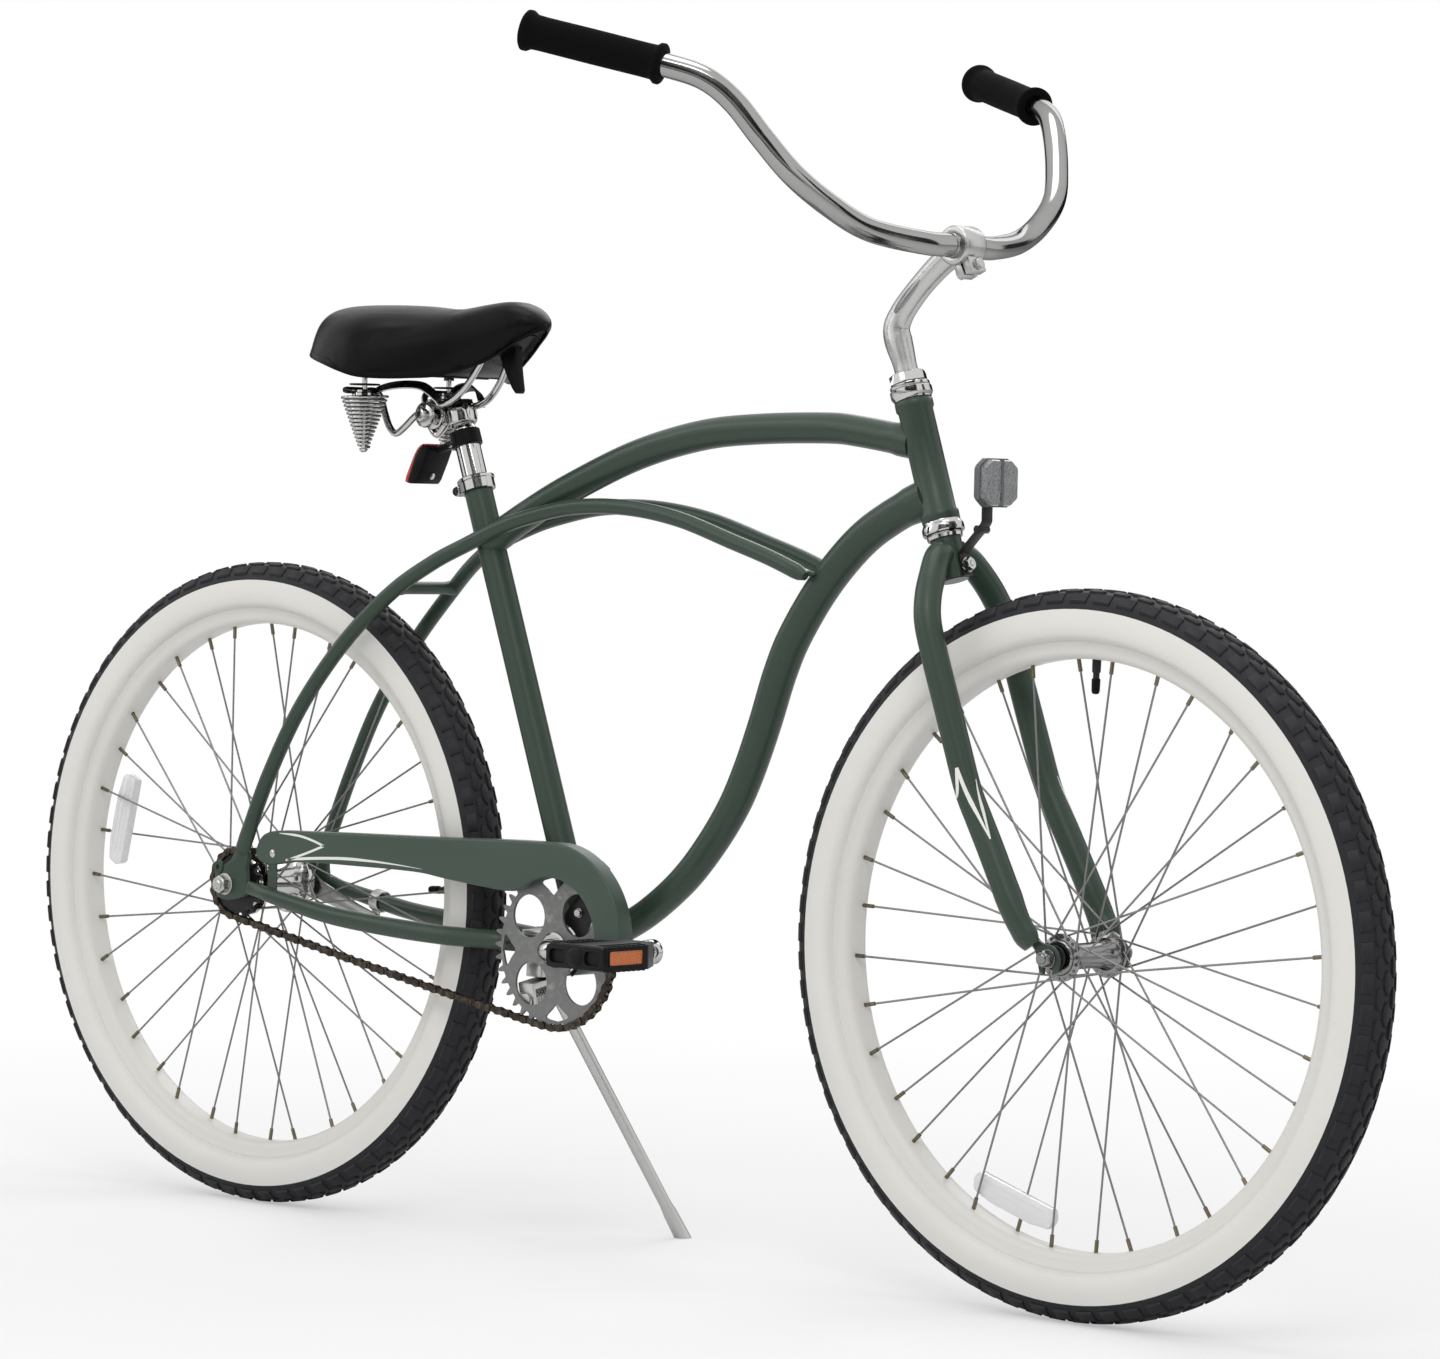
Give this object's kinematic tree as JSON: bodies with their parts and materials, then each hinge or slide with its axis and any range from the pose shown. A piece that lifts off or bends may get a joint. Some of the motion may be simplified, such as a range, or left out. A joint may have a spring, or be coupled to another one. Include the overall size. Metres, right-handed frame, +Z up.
{
  "type": "beach cruiser bicycle",
  "caption": "Single-speed beach cruiser bicycle with curved cantilever frame, balloon whitewall tyres, swept-back bars, chainguard, sprung saddle and kickstand.",
  "frame": {"origin": "on the ground under the middle of the wheelbase, in the bicycle's middle plane", "axes": "+X forward, +Y to the rider's left, +Z up"},
  "size_m": [1.7434, 0.6868, 1.1809],
  "materials": {
    "frame_paint": "satin",
    "chrome": "polished",
    "brushed_steel": "brushed",
    "ring_grey": "satin",
    "chain_steel": "satin",
    "black_metal": "satin",
    "tyre_rubber": "matte",
    "rim_white": "gloss",
    "grip_foam": "matte",
    "saddle_vinyl": "satin",
    "pedal_resin": "matte",
    "clear_lens": "gloss",
    "black_plastic": "satin",
    "red_lens": "gloss"
  },
  "bodies": {
    "frame": {"head_tube": "frame_paint", "seat_tube": "frame_paint", "bottom_bracket_shell": "frame_paint", "top_tube": "frame_paint", "down_tube": "frame_paint", "twin_tube_right": "frame_paint", "twin_tube_left": "frame_paint", "stay_bridge": "frame_paint", "chainstay_right": "frame_paint", "chainstay_left": "frame_paint", "dropout_right": "frame_paint", "dropout_left": "frame_paint", "bb_cup_right": "chrome", "bb_cup_left": "chrome", "headset_lower_cup": "chrome", "headset_upper_cup": "chrome", "chainguard": "frame_paint", "seat_collar": "chrome", "rear_axle": "chrome", "brake_arm": "brushed_steel", "brake_arm_clip": "brushed_steel", "kickstand_bracket": "brushed_steel", "kickstand_spring": "brushed_steel", "chain": "chain_steel"},
    "steering": {"steerer": "frame_paint", "fork_blade_right": "frame_paint", "fork_blade_left": "frame_paint", "stem": "chrome", "handlebar": "chrome", "grip_left": "grip_foam", "grip_right": "grip_foam", "headset_locknut": "chrome", "front_axle": "chrome", "front_reflector_bracket": "black_metal", "front_reflector": "clear_lens"},
    "front_wheel": {"front_tyre": "tyre_rubber", "front_rim": "rim_white", "front_hub_spokes": "chrome", "front_spoke_reflector": "clear_lens"},
    "rear_wheel": {"rear_tyre": "tyre_rubber", "rear_rim": "rim_white", "rear_hub_spokes": "chrome", "rear_spoke_reflector": "clear_lens"},
    "rear_sprocket": {"rear_sprocket": "black_metal"},
    "crank": {"crank": "chrome", "chainring": "ring_grey", "pedal_spindle_right": "chrome", "pedal_spindle_left": "chrome"},
    "pedal_right": {"pedal_right": "pedal_resin"},
    "pedal_left": {"pedal_left": "pedal_resin"},
    "kickstand": {"kickstand": "brushed_steel"},
    "seat_post": {"seatpost": "chrome", "saddle_clamp": "chrome", "saddle_rails": "chrome", "rear_reflector_bracket": "black_plastic", "rear_reflector": "red_lens", "saddle_spring_right": "chrome", "saddle_spring_left": "chrome"},
    "saddle": {"saddle_cushion": "saddle_vinyl", "saddle_pan": "black_plastic"}
  },
  "joints": [
    {"name": "steering_turn", "type": "hinge", "parent": "frame", "child": "steering", "pos_m": [0.49365, 0, 0.31866], "axis": [-0.3156, 0, 0.9489], "range_deg": [-70, 70]},
    {"name": "front_wheel_spin", "type": "hinge", "parent": "steering", "child": "front_wheel", "pos_m": [0.53825, 0, 0.3335], "axis": [0, 1, 0], "continuous": true},
    {"name": "rear_wheel_spin", "type": "hinge", "parent": "frame", "child": "rear_wheel", "pos_m": [-0.53825, 0, 0.3335], "axis": [0, 1, 0], "continuous": true},
    {"name": "crank_spin", "type": "hinge", "parent": "frame", "child": "crank", "pos_m": [-0.082, 0, 0.297], "axis": [0, 1, 0], "continuous": true, "deforming": ["chain"]},
    {"name": "rear_sprocket_spin", "type": "hinge", "parent": "frame", "child": "rear_sprocket", "pos_m": [-0.53825, 0, 0.3335], "axis": [0, 1, 0], "continuous": true},
    {"name": "pedal_right_spin", "type": "hinge", "parent": "crank", "child": "pedal_right", "pos_m": [0.0826, -0.1465, 0.30851], "axis": [0, 1, 0], "continuous": true},
    {"name": "pedal_left_spin", "type": "hinge", "parent": "crank", "child": "pedal_left", "pos_m": [-0.2466, 0.1465, 0.28549], "axis": [0, 1, 0], "continuous": true},
    {"name": "kickstand_fold", "type": "hinge", "parent": "frame", "child": "kickstand", "pos_m": [-0.125, 0, 0.25], "axis": [0, 0.9848, 0.1736], "range_deg": [0, 100]},
    {"name": "seat_height", "type": "slide", "parent": "frame", "child": "seat_post", "axis": [-0.3379, 0, 0.9412], "range_m": [-0.025, 0.06]},
    {"name": "saddle_bounce", "type": "hinge", "parent": "seat_post", "child": "saddle", "pos_m": [-0.195, 0, 0.885], "axis": [0, -1, 0], "range_deg": [0, 1.8], "stiffness_Nm_per_rad": 900, "springref_deg": -0.23, "deforming": ["saddle_spring_right", "saddle_spring_left"]}
  ],
  "couplings": [
    {"joint": "rear_sprocket_spin", "follows": "crank_spin", "ratio": 2.2353}
  ]
}
